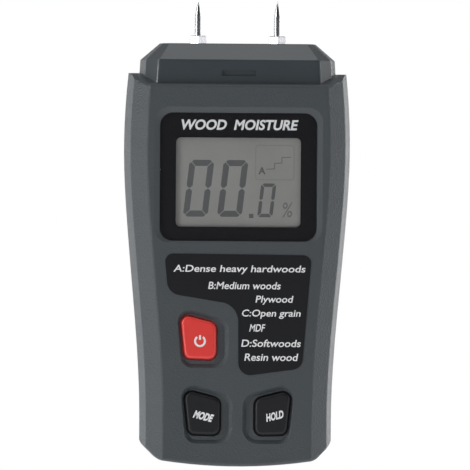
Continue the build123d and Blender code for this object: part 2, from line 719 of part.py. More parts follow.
def supply_capacitor():
    """The round supply capacitor, standing on the board."""
    can = rod(2.5, BOARD_BACK, BOARD_BACK + 7.0, 17.5, 90.5)
    return fillet(can.faces().sort_by(Axis.Y)[-1].edges(), 0.4)


# ---- Electrodes ----
def hexagon(across_flats, z_from, z_to, x):
    """A six-sided collar or nut along Z, with two of its corners to the front and back."""
    face = RegularPolygon(across_flats / 2, 6, major_radius=False, rotation=30)
    return Pos(x, 0, z_from) * extrude(face, z_to - z_from)


def electrode_pin(side):
    """One needle: a round shaft with a long sharp point whose sides bulge a little."""
    x = side * PIN_X
    collar_top = HEAD_TOP_Z + COLLAR_HEIGHT
    tip = HEAD_TOP_Z + PIN_REACH
    shoulder = tip - PIN_POINT
    shank = peg(PIN_SHANK_RADIUS, collar_top - PIN_SOCKET, collar_top, x)
    shaft = peg(PIN_RADIUS, collar_top, shoulder, x)
    halfway = ((PIN_RADIUS + PIN_TIP_RADIUS) / 2 + PIN_BELLY, shoulder + PIN_POINT / 2)
    side_line = ThreePointArc((PIN_RADIUS, shoulder), halfway, (PIN_TIP_RADIUS, tip))
    rest = Polyline((PIN_TIP_RADIUS, tip), (0, tip), (0, shoulder), (PIN_RADIUS, shoulder))
    point = revolve(Plane.XZ * make_face(side_line + rest), Axis.Z)
    return shank + shaft + Pos(x, 0, 0) * point


def electrode_post(side):
    """The stud through the head, with a six-sided collar that takes the needle."""
    x = side * PIN_X
    collar = hexagon(COLLAR_ACROSS_FLATS, HEAD_TOP_Z, HEAD_TOP_Z + COLLAR_HEIGHT, x)
    collar = chamfer(collar.faces().sort_by(Axis.Z)[-1].edges(), 0.3)
    stud = peg(STUD_RADIUS, HEAD_TOP_Z - STUD_LENGTH, HEAD_TOP_Z, x)
    socket_top = HEAD_TOP_Z + COLLAR_HEIGHT
    return collar + stud - peg(PIN_SHANK_RADIUS, socket_top - PIN_SOCKET, socket_top + 1, x)


def stud_nut(side):
    """The nut that draws the stud up against the head."""
    x = side * PIN_X
    top = HEAD_TOP_Z - HEAD_CEILING
    nut = hexagon(STUD_NUT_ACROSS_FLATS, top - STUD_NUT_HEIGHT, top, x)
    return nut - peg(STUD_RADIUS, top - STUD_NUT_HEIGHT - 1, top + 1, x)


def solder_tag(side):
    """The ring tag under the nut, with a short tail for the lead."""
    x = side * PIN_X
    top = HEAD_TOP_Z - HEAD_CEILING - STUD_NUT_HEIGHT
    ring = peg(SOLDER_TAG_RADIUS, top - SOLDER_TAG_THICK, top, x)
    tail_from, tail_to = sorted((x, x - side * (SOLDER_TAG_RADIUS + 3.0)))
    tail = block(tail_from, tail_to, -1.0, 1.0, top - SOLDER_TAG_THICK, top)
    return ring + tail - peg(STUD_RADIUS, top - 2 * SOLDER_TAG_THICK, top + 1, x)


def tangent_path(points):
    """Straight runs joined by tangent arcs, each as large as its two runs allow."""
    corners = [Vector(*point) for point in points]
    radii = []
    for before, corner, after in zip(corners, corners[1:], corners[2:]):
        turn = (corner - before).get_angle(after - corner)
        shorter = min((corner - before).length, (after - corner).length)
        radii.append(0.45 * shorter / tan(radians(turn / 2)))
    print("lead radii", [round(radius, 1) for radius in radii])
    return FilletPolyline(*corners, radius=radii)


def lead(points):
    """A round insulated wire along its route."""
    path = tangent_path(points)
    start = Plane(path @ 0, z_dir=path % 0)
    return sweep(start * Circle(LEAD_RADIUS), path=path)


def electrode_lead(side):
    """The lead from one solder tag down to the back of the board."""
    tag_x = side * (PIN_X - SOLDER_TAG_RADIUS - 2.0)
    tag_z = HEAD_TOP_Z - HEAD_CEILING - STUD_NUT_HEIGHT - SOLDER_TAG_THICK
    pad_x, pad_z = side * ELECTRODE_PAD[0], ELECTRODE_PAD[1]
    return lead([
        (tag_x, 0, tag_z),
        (tag_x, 0, tag_z - 6.0),
        (pad_x, 0.6, pad_z + 4.5),
        (pad_x, -0.4, pad_z),
        (pad_x, BOARD_BACK, pad_z),
    ])


# ---- Batteries ----
def cell(side):
    """One AAA cell; the left one has its positive end up, the right one down."""
    low = BAY_BOTTOM + CONTACT_THICK + (SPRING_LENGTH if side < 0 else 0)
    body_length = CELL_LENGTH - CELL_NUB
    x = side * CELL_X
    if side < 0:
        can = peg(CELL_RADIUS, low, low + body_length, x, CELL_Y)
        nub = peg(CELL_NUB_RADIUS, low + body_length, low + CELL_LENGTH, x, CELL_Y)
    else:
        can = peg(CELL_RADIUS, low + CELL_NUB, low + CELL_LENGTH, x, CELL_Y)
        nub = peg(CELL_NUB_RADIUS, low, low + CELL_NUB, x, CELL_Y)
    can = fillet(can.edges().filter_by(GeomType.CIRCLE), 0.4)
    return can + nub


def plate(x_from, x_to, z_from):
    """A flat contact plate against one end of the bay."""
    half = CONTACT_WIDTH / 2
    return block(x_from, x_to, CELL_Y - half, CELL_Y + half, z_from, z_from + CONTACT_THICK)


def solder_tab(side):
    """The tab that a top contact sends up through the bay wall."""
    x = side * CELL_X
    half = TAB_WIDTH / 2
    return block(x - half, x + half, CELL_Y - TAB_DEPTH / 2, CELL_Y + TAB_DEPTH / 2,
                 BAY_TOP - CONTACT_THICK, BAY_TOP + TAB_RISE)


def tab_slot(side):
    """The slot in the bay wall for one solder tab."""
    x = side * CELL_X
    half = TAB_WIDTH / 2
    return block(x - half, x + half, CELL_Y - TAB_DEPTH / 2, CELL_Y + TAB_DEPTH / 2,
                 BAY_TOP - 1, BAY_TOP + BAY_WALL + 1)


def top_contact(side):
    """The plate and solder tab at the top of one cell."""
    half = CONTACT_WIDTH / 2
    x = side * CELL_X
    return plate(x - half, x + half, BAY_TOP - CONTACT_THICK) + solder_tab(side)


def link_contact():
    """The plate at the bottom that joins the two cells."""
    reach = CELL_X + CONTACT_WIDTH / 2
    return plate(-reach, reach, BAY_BOTTOM)


def contact_spring(side):
    """The conical spring that presses on one cell's flat end."""
    free = SPRING_LENGTH - 2 * SPRING_WIRE
    pitch = free / SPRING_TURNS
    coil = Helix(pitch, free, SPRING_BASE - SPRING_WIRE, cone_angle=0)
    wire = sweep(Plane(coil @ 0, z_dir=coil % 0) * Circle(SPRING_WIRE), path=coil)
    x = side * CELL_X
    if side < 0:
        return Pos(x, CELL_Y, BAY_BOTTOM + CONTACT_THICK + SPRING_WIRE) * wire
    return Pos(x, CELL_Y, BAY_TOP - CONTACT_THICK - SPRING_WIRE) * Rot(X=180) * wire


def battery_lead(side):
    """The lead from one solder tab to the back of the board."""
    x = side * CELL_X
    tab_end = BAY_TOP + TAB_RISE
    pad_x, pad_z = side * BATTERY_PAD[0], BATTERY_PAD[1]
    return lead([
        (x, CELL_Y, tab_end),
        (x, CELL_Y, tab_end + 5.0),
        (x + side * 3.5, CELL_Y - 2.0, tab_end + 9.0),
        (pad_x, CELL_Y - 4.0, pad_z),
        (pad_x, BOARD_BACK, pad_z),
    ])


# ---- Every piece by name ----
def all_pieces():
    pieces = {
        "front_shell": front_shell(),
        "rear_shell": rear_shell(),
        "battery_door": battery_door(),
        "door_pad": door_pad(),
        "housing_screws": housing_screws(),
        "display_lens": display_lens(),
        "species_label": species_label(),
        "display_front_film": glass_plate(INNER_FRONT, GLASS_FRONT, GLASS_BOTTOM + CONTACT_LEDGE, FILM_INSET),
        "display_front_glass": glass_plate(GLASS_FRONT, GLASS_JOIN, GLASS_BOTTOM),
        "display_rear_glass": glass_plate(GLASS_JOIN, GLASS_BACK, GLASS_BOTTOM + CONTACT_LEDGE),
        "display_reflector": glass_plate(GLASS_BACK, FOIL_BACK, GLASS_BOTTOM + CONTACT_LEDGE, FILM_INSET),
        "display_frame": display_frame(),
        "zebra_strip": zebra_strip(),
        "main_board": main_board(),
        "board_screws": board_screws(),
        "controller_chip": controller_chip(),
        "amplifier_chip": amplifier_chip(),
        "chip_resistors": resistors(),
        "chip_capacitors": capacitors(),
        "crystal": crystal(),
        "supply_capacitor": supply_capacitor(),
        "link_contact": link_contact(),
    }
    for name in KEY_PLACES:
        pieces[f"{name}_button"] = key_button(name)
        pieces[f"{name}_plunger"] = switch_plunger(name)
        pieces[f"{name}_switch"] = switch_body(name)
    for side_name, side in (("left", -1), ("right", 1)):
        pieces[f"{side_name}_pin"] = electrode_pin(side)
        pieces[f"{side_name}_post"] = electrode_post(side)
        pieces[f"{side_name}_stud_nut"] = stud_nut(side)
        pieces[f"{side_name}_solder_tag"] = solder_tag(side)
        pieces[f"{side_name}_electrode_lead"] = electrode_lead(side)
        pieces[f"{side_name}_cell"] = cell(side)
        pieces[f"{side_name}_top_contact"] = top_contact(side)
        pieces[f"{side_name}_spring"] = contact_spring(side)
        pieces[f"{side_name}_battery_lead"] = battery_lead(side)
    return pieces


def export_all():
    """Write every piece, shifted so that the origin is under the middle of the whole box."""
    os.makedirs("parts", exist_ok=True)
    proud = FRONT_DEPTH + KEY_PROUD
    shift = Pos(0, (proud - BACK_DEPTH) / 2, 0)
    for name, piece in all_pieces().items():
        solids = piece if isinstance(piece, list) else [piece]
        moved = [shift * solid for solid in solids]
        whole = moved[0] if len(moved) == 1 else Compound(children=moved)
        export_step(whole, f"parts/{name}.step")


export_all()
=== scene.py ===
# %% [markdown]
# # A pin-type moisture meter
# The meter is a grey moulded housing with a display, a printed label and three
# keys on its face, and two plated needles on its head.  Its shells, keys, cells
# and circuit board come ready-made from a CAD frame, so the work here is
# finishes, prints, the display's characters and the light.

import json
from math import cos, pi, radians, sin, tan

import bmesh
import bpy
from mathutils import Matrix, Vector


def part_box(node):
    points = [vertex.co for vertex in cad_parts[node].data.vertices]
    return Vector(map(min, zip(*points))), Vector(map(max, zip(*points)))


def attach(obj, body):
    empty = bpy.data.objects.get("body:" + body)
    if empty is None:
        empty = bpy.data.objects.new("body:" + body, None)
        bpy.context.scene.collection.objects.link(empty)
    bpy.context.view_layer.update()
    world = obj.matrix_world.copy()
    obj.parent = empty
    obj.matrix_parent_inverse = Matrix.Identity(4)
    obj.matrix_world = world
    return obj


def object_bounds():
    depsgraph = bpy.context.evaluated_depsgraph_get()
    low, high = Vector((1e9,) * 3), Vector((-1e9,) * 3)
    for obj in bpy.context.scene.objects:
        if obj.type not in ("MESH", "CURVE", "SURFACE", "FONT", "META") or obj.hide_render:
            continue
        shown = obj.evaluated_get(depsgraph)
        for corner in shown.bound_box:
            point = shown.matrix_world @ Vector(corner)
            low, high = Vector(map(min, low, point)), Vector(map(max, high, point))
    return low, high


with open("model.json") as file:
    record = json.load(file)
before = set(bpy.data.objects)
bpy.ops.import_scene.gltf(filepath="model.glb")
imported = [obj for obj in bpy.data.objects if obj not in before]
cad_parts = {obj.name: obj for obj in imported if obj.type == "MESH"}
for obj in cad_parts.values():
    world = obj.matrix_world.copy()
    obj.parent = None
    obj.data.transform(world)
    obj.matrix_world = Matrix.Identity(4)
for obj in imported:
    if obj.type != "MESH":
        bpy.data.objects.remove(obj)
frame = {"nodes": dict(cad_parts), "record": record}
cad_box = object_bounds()
MM = 0.001

# %% [markdown]
# ## Writing shaders as sums
# A finish is a small sum: a base tone, plus some mottling, and a bump from fine
# grain.  The class below wraps a node's output, so that `tone + 0.1 * grain`
# adds its Math nodes by itself.  One method, `node`, adds every other kind.


# %% A socket that can be added, multiplied and subtracted
class Wire:
    """An output socket with Python's operators; each one adds a Math node."""

    def __init__(self, finish, socket):
        self.finish = finish
        self.socket = socket

    def math(self, operation, first, second):
        return self.finish.node("ShaderNodeMath", {"operation": operation}, {0: first, 1: second})

    def __add__(self, other):
        return self.math("ADD", self, other)

    def __sub__(self, other):
        return self.math("SUBTRACT", self, other)

    def __rsub__(self, other):
        return self.math("SUBTRACT", other, self)

    def __mul__(self, other):
        return self.math("MULTIPLY", self, other)

    def above(self, limit):
        return self.math("GREATER_THAN", self, limit)

    __radd__ = __add__
    __rmul__ = __mul__


class Finish:
    """One material: a Principled shader and the nodes that feed it."""

    def __init__(self, name, colour, roughness, **constants):
        self.material = bpy.data.materials.new(name)
        self.material.use_nodes = True
        self.tree = self.material.node_tree
        self.shader = self.tree.nodes["Principled BSDF"]
        self.colour = (*colour, 1.0)
        self.shader.inputs["Base Color"].default_value = self.colour
        self.shader.inputs["Roughness"].default_value = roughness
        for socket, value in constants.items():
            self.shader.inputs[socket.replace("_", " ")].default_value = value
        self.place = self.node("ShaderNodeTexCoord", {}, {}, "Object")

    def node(self, kind, settings, inputs, out=0):
        """Add a node: its settings first, then the values or wires of its sockets."""
        node = self.tree.nodes.new(kind)
        for setting, value in settings.items():
            setattr(node, setting, value)
        for socket, value in inputs.items():
            if isinstance(value, Wire):
                self.tree.links.new(value.socket, node.inputs[socket])
            else:
                node.inputs[socket].default_value = value
        return Wire(self, node.outputs[out])

    def drive(self, socket, wire):
        """Let a wire feed one socket of the shader."""
        self.tree.links.new(wire.socket, self.shader.inputs[socket])

    def noise(self, size, detail=3.0, stretch=(1, 1, 1)):
        """Soft random values from 0 to 1, with lumps of about this size in metres."""
        spot = self.node("ShaderNodeMapping", {}, {"Vector": self.place, "Scale": stretch})
        settings = {"Vector": spot, "Scale": 1 / size, "Detail": detail}
        return self.node("ShaderNodeTexNoise", {}, settings)

    def cells(self, size):
        """Distance to the nearest of many scattered points, about this far apart in metres."""
        return self.node("ShaderNodeTexVoronoi", {}, {"Vector": self.place, "Scale": 1 / size})

    def axis(self, letter, source=None):
        """One coordinate of a position, in metres."""
        return self.node("ShaderNodeSeparateXYZ", {}, {0: source or self.place}, letter)

    def blend(self, factor, first, second):
        """A colour between two, by a factor from 0 to 1."""
        inputs = {"Factor": factor, 6: first, 7: second}
        return self.node("ShaderNodeMix", {"data_type": "RGBA"}, inputs, 2)

    def mottle(self, amount, size):
        """Vary the base colour lighter and darker by this share."""
        darker = tuple(c * (1 - amount) for c in self.colour[:3]) + (1.0,)
        lighter = tuple(min(1.0, c * (1 + amount)) for c in self.colour[:3]) + (1.0,)
        self.drive("Base Color", self.blend(self.noise(size), darker, lighter))
        return self

    def bump(self, height, depth):
        """Raise the surface by a wire's value times a depth in metres."""
        inputs = {"Strength": 1.0, "Distance": depth, "Height": height}
        self.drive("Normal", self.node("ShaderNodeBump", {}, inputs))
        return self


print("shader helpers ready")

# %% [markdown]
# ## Finishes
# The housing is moulded plastic whose tool was spark-eroded: a fine pebble
# texture, coarser on the long bevels than on the face.  A voronoi pattern has
# that pebbly look where plain noise looks cloudy.  The bevels are found from
# the surface direction, because they alone face diagonally outwards.  The head
# is polished smoother, because a cap slides over it, and is found by its height
# and by being narrower than the shoulders beside it.

# %% Housing plastic
HOUSING_GREY = (0.038, 0.0465, 0.0528)
HEAD_FOOT = 109.9 * MM
HEAD_HALF_WIDTH = 28.72 * MM
PEBBLE_SIZE = 0.5 * MM
PEBBLE_DEPTH = 0.16 * MM
FACE_SHARE = 0.35            # how strong the pebbles are on the face, beside the bevels
BEVEL_LEAN = 0.2             # a bevel's sideways direction, squared, is more than this


def housing_plastic():
    """Spark-eroded grey plastic, with a smoother head."""
    finish = Finish("housing_plastic", HOUSING_GREY, 0.5, Specular_IOR_Level=0.5)
    direction = finish.node("ShaderNodeTexCoord", {}, {}, "Normal")
    sideways = finish.axis("X", direction)
    sideways_squared = sideways * sideways
    across = finish.axis("X")
    inside_shoulders = 1 - (across * across).above(HEAD_HALF_WIDTH ** 2)
    head = finish.axis("Z").above(HEAD_FOOT) * inside_shoulders
    grained = 1 - head
    bevel = sideways_squared.above(BEVEL_LEAN)
    pebbles = finish.cells(PEBBLE_SIZE)
    haze = finish.noise(0.0002, 2.0)
    strength = FACE_SHARE + (1 - FACE_SHARE) * bevel
    finish.bump(grained * (pebbles * strength + 0.2 * haze), PEBBLE_DEPTH)
    wear = finish.noise(0.012, 4.0)
    dull = tuple(c * 0.93 for c in HOUSING_GREY) + (1.0,)
    fresh = tuple(c * 1.07 for c in HOUSING_GREY) + (1.0,)
    finish.drive("Base Color", finish.blend(wear, dull, fresh))
    finish.drive("Roughness", 0.44 + 0.12 * wear - 0.26 * head)
    return finish


# %% Other moulded plastics, films and rubbers
def moulded(name, colour, roughness, grain=0.0003, depth=0.00001, **constants):
    """Plastic or rubber with a fine grain and a slight unevenness of tone."""
    finish = Finish(name, colour, roughness, **constants)
    finish.mottle(0.06, 0.006)
    finish.drive("Roughness", roughness - 0.04 + 0.08 * finish.noise(0.004))
    return finish.bump(finish.noise(grain, 2.0), depth)


def metal(name, colour, roughness, stretch, grain=0.0006):
    """Metal with fine tool marks, set closest along the axis with the largest factor."""
    finish = Finish(name, colour, roughness, Metallic=1.0)
    marks = finish.noise(grain, 4.0, stretch)
    finish.mottle(0.05, 0.003)
    finish.drive("Roughness", roughness * 0.7 + roughness * 0.6 * marks)
    return finish.bump(marks, 0.000004)


def clear(name, colour, alpha, roughness=0.04):
    """A clear layer: mostly see-through, with its gloss kept."""
    finish = Finish(name, colour, roughness, IOR=1.49)
    smear = finish.noise(0.02, 5.0)
    finish.drive("Roughness", roughness + 0.03 * smear)
    finish.drive("Alpha", alpha + 0.02 * smear)
    return finish


# %% [markdown]
# ### Patterns that belong to one piece
# The circuit board shows copper runs under its green mask, and the cells have a
# plain jacket with a lighter band.  Both are drawn from position alone, so they
# stay put on the piece.

# %% Board and cell finishes
MASK_GREEN = (0.012, 0.12, 0.045)
COPPER_GREEN = (0.03, 0.2, 0.07)     # the mask where copper lies under it
JACKET_BLUE = (0.05, 0.09, 0.2)
JACKET_COPPER = (0.55, 0.3, 0.12)
BAND_FOOT = 34.0 * MM                # where the light band starts, above the left cell's foot


def board_finish():
    """Green solder mask over a grid of copper runs."""
    finish = Finish("solder_mask", MASK_GREEN, 0.32, Coat_Weight=0.5)
    turned = finish.node("ShaderNodeMapping", {}, {
        "Vector": finish.place, "Rotation": (pi / 2, 0, 0)})
    tracks = finish.node("ShaderNodeTexBrick", {"offset": 0.5}, {
        "Vector": turned, "Scale": 260.0, "Mortar Size": 0.035, "Mortar Smooth": 0.1}, "Fac")
    mask, copper = (*MASK_GREEN, 1.0), (*COPPER_GREEN, 1.0)
    finish.drive("Base Color", finish.blend(tracks, mask, copper))
    return finish.bump(tracks, 0.00003)


def cell_finish():
    """A plain blue jacket with a copper band at the top."""
    finish = Finish("cell_jacket", JACKET_BLUE, 0.3, Coat_Weight=0.4)
    cell_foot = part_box("left_cell")[0][2]
    band = (finish.axis("Z") - cell_foot).above(BAND_FOOT)
    jacket, copper = (*JACKET_BLUE, 1.0), (*JACKET_COPPER, 1.0)
    finish.drive("Base Color", finish.blend(band, jacket, copper))
    return finish.bump(finish.noise(0.0008), 0.00001)


# %% [markdown]
# ### One finish for each slot
# The frame's record names a material slot for every piece.  A table from slot to
# finish keeps the two in step, and a piece with no entry would stop the script.

# %% Dress the frame
finishes = {
    "housing": housing_plastic(),
    "foam": moulded("foam", (0.04, 0.04, 0.042), 0.95, 0.0005, 0.0002),
    "screw_steel": metal("zinc_plate", (0.62, 0.63, 0.66), 0.32, (1, 1, 1)),
    "lens": clear("lens_acrylic", (0.012, 0.012, 0.014), 0.05),
    "label": moulded("label_film", (0.0055, 0.006, 0.0082), 0.45, 0.0002, 0.000008,
                     Specular_IOR_Level=0.24),
    "film": moulded("polarising_film", (0.247, 0.251, 0.24), 0.4, 0.00012, 0.000003),
    "display_glass": clear("display_glass", (0.03, 0.035, 0.03), 0.02),
    "reflector": moulded("reflector_foil", (0.34, 0.345, 0.33), 0.55, 0.00012, 0.000004),
    "frame_plastic": moulded("frame_plastic", (0.02, 0.02, 0.021), 0.5),
    "elastomer": moulded("elastomer", (0.6, 0.33, 0.38), 0.7),
    "board": board_finish(),
    "chip": moulded("chip_epoxy", (0.016, 0.016, 0.017), 0.55, 0.00015, 0.00002),
    "resistor": moulded("resistor_glaze", (0.02, 0.02, 0.022), 0.3),
    "capacitor": moulded("capacitor_ceramic", (0.4, 0.28, 0.16), 0.45),
    "plated": metal("crystal_can", (0.78, 0.78, 0.8), 0.22, (1, 1, 1)),
    "can_sleeve": moulded("capacitor_sleeve", (0.02, 0.03, 0.09), 0.35),
    "spring_steel": metal("nickel_plate", (0.74, 0.72, 0.68), 0.24, (1, 1, 8)),
    "key_red": moulded("key_red", (0.6, 0.03, 0.024), 0.36, 0.0004, 0.00001, Coat_Weight=0.15),
    "key_black": moulded("key_black", (0.0065, 0.007, 0.009), 0.42, 0.0004, 0.00001,
                         Specular_IOR_Level=0.28),
    "plunger": moulded("plunger_plastic", (0.015, 0.015, 0.016), 0.45),
    "switch_metal": metal("switch_cover", (0.6, 0.6, 0.62), 0.3, (6, 1, 1)),
    "pin_steel": metal("needle_plate", (0.6, 0.61, 0.63), 0.17, (1, 1, 14), 0.0004),
    "nut_brass": metal("brass", (0.72, 0.5, 0.22), 0.28, (1, 1, 6)),
    "lead_white": moulded("lead_white", (0.7, 0.7, 0.67), 0.45),
    "lead_red": moulded("lead_red", (0.5, 0.02, 0.015), 0.45),
    "lead_black": moulded("lead_black", (0.016, 0.016, 0.017), 0.45),
    "cell_jacket": cell_finish(),
}
for part in frame["record"]["subparts"]:
    piece = frame["nodes"][part["node"]]
    for place in piece.material_slots:
        place.material = finishes[part["material_slot"]].material

# %% [markdown]
# ## Printing
# Ink is thin but real, so every mark is a shallow solid that stands a few
# hundredths of a millimetre proud of what it is printed on.  Marks are drawn
# flat, as a sign painter would, and then stood up to face the reader.

# %% Inks and how a flat drawing is stood up
white_ink = moulded("white_ink", (0.66, 0.67, 0.68), 0.5, 0.0001, 0.000004)
display_ink = moulded("display_ink", (0.088, 0.091, 0.094), 0.5, 0.0001, 0.000002)
faint_ink = moulded("faint_display_ink", (0.19, 0.194, 0.187), 0.5, 0.0001, 0.000002)
light_ink = moulded("light_display_ink", (0.135, 0.138, 0.137), 0.5, 0.0001, 0.000002)
shadow_ink = moulded("display_shadow", (0.25, 0.255, 0.247), 0.5, 0.0001, 0.000002)
border_ink = moulded("border_ink", (0.0055, 0.0056, 0.0076), 0.4, 0.0001, 0.000002,
                     Specular_IOR_Level=0.2)
INK_THICK = 0.03 * MM
stand_up = Matrix.Rotation(pi / 2, 4, "X")


def keep(mesh, name, ink, body):
    """Make a finished piece of a mesh that is already in its place."""
    piece = bpy.data.objects.new(name, mesh)
    bpy.context.scene.collection.objects.link(piece)
    mesh.materials.clear()
    mesh.materials.append(ink.material)
    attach(piece, body)
    return piece


def flat_mesh(name, curve_data):
    """The plain mesh of a flat curve or of lettering."""
    drawing = bpy.data.objects.new(name, curve_data)
    bpy.context.scene.collection.objects.link(drawing)
    shapes = bpy.context.evaluated_depsgraph_get()
    mesh = bpy.data.meshes.new_from_object(drawing.evaluated_get(shapes))
    bpy.data.objects.remove(drawing)
    return mesh


def lettering(name, words, centre, width, height, front, body, ink,
              lean=0.2, turn=0.0, weight=0.02):
    """Slanted words, fitted to a width and height about a centre (x, z)."""
    text = bpy.data.curves.new(name, "FONT")
    text.body = words
    text.offset = weight
    text.extrude = 0.5
    text.resolution_u = 4
    mesh = flat_mesh(name, text)
    corners = [Vector(v.co) for v in mesh.vertices]
    low = Vector([min(c[i] for c in corners) for i in range(3)])
    high = Vector([max(c[i] for c in corners) for i in range(3)])
    size = high - low
    mesh.transform(Matrix.Translation(-(low + high) / 2))
    mesh.transform(Matrix.Diagonal((1 / size.x, 1 / size.y, 1 / size.z, 1)))
    mesh.transform(Matrix.Diagonal((width - lean * height, height, INK_THICK, 1)))
    slant = Matrix.Identity(4)
    slant[0][1] = lean
    mesh.transform(slant)
    mesh.transform(Matrix.Rotation(turn, 4, "Z"))
    mesh.transform(stand_up)
    mesh.transform(Matrix.Translation((centre[0], front - INK_THICK / 2, centre[1])))
    return keep(mesh, name, ink, body)


# %% [markdown]
# ### The label and the heading
# The label lists which setting suits which kind of wood.  Its lines are long at
# the top and step in below, because the label is an L round the power key.

# %% Heading and label lines
lens_low, lens_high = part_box("display_lens")
label_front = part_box("species_label")[0][1]
BORDER_FRONT = lens_high[1] - 2 * INK_THICK

lettering("heading", "WOOD  MOISTURE", (0.1 * MM, 98.0 * MM), 34.2 * MM, 3.0 * MM,
          BORDER_FRONT, "housing", white_ink, weight=0.03)
LABEL_LINES = (      # words, left end, right end and height, in mm
    ("A:Dense heavy hardwoods", -18.6, 19.6, 56.7),
    ("B:Medium woods", -8.5, 12.5, 51.9),
    ("Plywood", 5.0, 16.0, 48.0),
    ("C:Open grain", 1.0, 18.3, 44.0),
    ("MDF", 3.4, 8.0, 39.8),
    ("D:Softwoods", 1.1, 18.4, 35.4),
    ("Resin wood", 2.0, 17.5, 31.4),
)
LINE_HEIGHT = 2.1
TAIL = 0.5           # what the tail of a y or p adds below the line
for number, (words, left, right, z) in enumerate(LABEL_LINES):
    tail = TAIL if "y" in words or "p" in words else 0.0
    middle = ((left + right) / 2 * MM, (z - tail / 2) * MM)
    lettering(f"label_line_{number}", words, middle, (right - left) * MM,
              (LINE_HEIGHT + tail) * MM, label_front, "housing", white_ink,
              lean=0.17, weight=0.012)
print("printed the heading and", len(LABEL_LINES), "label lines")

# %% [markdown]
# ### Ribbons
# Borders, steps and the power sign are all strips of an even width along a
# path.  A curve with a flat profile would twist at corners, so the strip is
# worked out here: each corner point is pushed out to both sides along its mitre.


# %% A flat strip along a path
def ribbon_mesh(name, path, width, front, closed=False):
    """A strip of even width along (x, z) points, standing proud towards the reader."""
    points = [Vector(p) for p in path]
    count = len(points)
    verts, faces = [], []
    for i, point in enumerate(points):
        before = points[i - 1] if closed or i > 0 else point
        after = points[(i + 1) % count] if closed or i < count - 1 else point
        outgoing = (after - point).normalized()
        incoming = (point - before).normalized() if point != before else outgoing
        outgoing = outgoing if point != after else incoming
        along = (incoming + outgoing).normalized()
        across = Vector((-along.y, along.x))
        reach = width / 2 / max(0.3, across.dot(Vector((-incoming.y, incoming.x))))
        for side in (-1, 1):
            x, z = point + across * reach * side
            verts += [(x, front, z), (x, front - INK_THICK, z)]
    steps = count if closed else count - 1
    for i in range(steps):
        a, b = 4 * i, 4 * ((i + 1) % count)
        faces += [(a + 1, b + 1, b + 3, a + 3), (a, a + 2, b + 2, b), (a, b, b + 1, a + 1),
                  (a + 2, a + 3, b + 3, b + 2)]
    if not closed:
        last = 4 * (count - 1)
        faces += [(0, 1, 3, 2), (last, last + 2, last + 3, last + 1)]
    mesh = bpy.data.meshes.new(name)
    mesh.from_pydata(verts, [], faces)
    return face_outwards(mesh)


def face_outwards(mesh):
    """Turn every face of a closed mesh outwards."""
    work = bmesh.new()
    work.from_mesh(mesh)
    bmesh.ops.recalc_face_normals(work, faces=work.faces)
    work.to_mesh(mesh)
    work.free()
    return mesh


def round_path(centre, radius, start, end, steps):
    """Points along an arc from one angle to another."""
    x, z = centre
    angles = [start + (end - start) * i / steps for i in range(steps + 1)]
    return [(x + radius * cos(a), z + radius * sin(a)) for a in angles]


def rounded_frame(left, right, low, high, radius):
    """Points round a rectangle with round corners."""
    corners = ((right - radius, high - radius, 0), (left + radius, high - radius, 1),
               (left + radius, low + radius, 2), (right - radius, low + radius, 3))
    path = []
    for x, z, quarter in corners:
        path += round_path((x, z), radius, quarter * pi / 2, (quarter + 1) * pi / 2, 8)
    return path


print("ribbon helper ready")

# %% [markdown]
# ### Key legends
# MODE and HOLD lean with the slanting tops of their keys.  The power sign is a
# ring with a gap at the top and a short bar through the gap.

# %% Key legends
key_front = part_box("power_button")[0][1]
LEGEND_HEIGHT = 2.3 * MM
LEGEND_TURN = radians(14)
lettering("mode_legend", "MODE", (-9.6 * MM, 14.4 * MM), 5.9 * MM, LEGEND_HEIGHT,
          key_front, "mode_key", white_ink, turn=-LEGEND_TURN, weight=0.05)
lettering("hold_legend", "HOLD", (10.9 * MM, 14.6 * MM), 5.5 * MM, LEGEND_HEIGHT,
          key_front, "hold_key", white_ink, turn=LEGEND_TURN, weight=0.04)

POWER_AT = (-10.75 * MM, 35.9 * MM)
POWER_RADIUS = 1.4 * MM
STROKE = 0.58 * MM
ring = round_path(POWER_AT, POWER_RADIUS, radians(125), radians(415), 36)
bar = [(POWER_AT[0], POWER_AT[1] + share * POWER_RADIUS) for share in (0.3, 1.2)]
for name, path in (("power_ring", ring), ("power_bar", bar)):
    keep(ribbon_mesh(name, path, STROKE, key_front), name, white_ink, "power_key")
print("printed the key legends")

# %% [markdown]
# ## The lens border
# The lens is clear, and what looks like a black frame is ink on its back.  The
# ink is a sheet with a round-cornered window, so it is drawn as two outlines
# filled together: the inner one becomes a hole.


# %% A sheet with a window
def sheet_with_hole(name, outer, inner, thick, front):
    """A thin upright sheet inside one outline and outside another."""
    curve = bpy.data.curves.new(name, "CURVE")
    curve.dimensions = "2D"
    curve.fill_mode = "BOTH"
    curve.extrude = thick / 2
    for outline in (outer, inner):
        spline = curve.splines.new("POLY")
        spline.points.add(len(outline) - 1)
        for point, (x, z) in zip(spline.points, outline):
            point.co = (x, z, 0, 1)
        spline.use_cyclic_u = True
    mesh = flat_mesh(name, curve)
    mesh.transform(stand_up)
    mesh.transform(Matrix.Translation((0, front + thick / 2, 0)))
    return mesh


WINDOW = (-17.9 * MM, 17.9 * MM, 68.7 * MM, 94.3 * MM)
WINDOW_ROUND = 1.4 * MM
LENS_ROUND = 3.7 * MM
INSET = 0.05 * MM            # the ink stops just short of the lens edge
lens_outline = rounded_frame(lens_low[0] + INSET, lens_high[0] - INSET,
                             lens_low[2] + INSET, lens_high[2] - INSET, LENS_ROUND)
window_outline = rounded_frame(*WINDOW, WINDOW_ROUND)
border_mesh = sheet_with_hole("lens_border", lens_outline, window_outline,
                              INK_THICK, BORDER_FRONT)
keep(border_mesh, "lens_border", border_ink, "housing")
print("border ink round a window", round((WINDOW[1] - WINDOW[0]) / MM, 1), "mm wide")

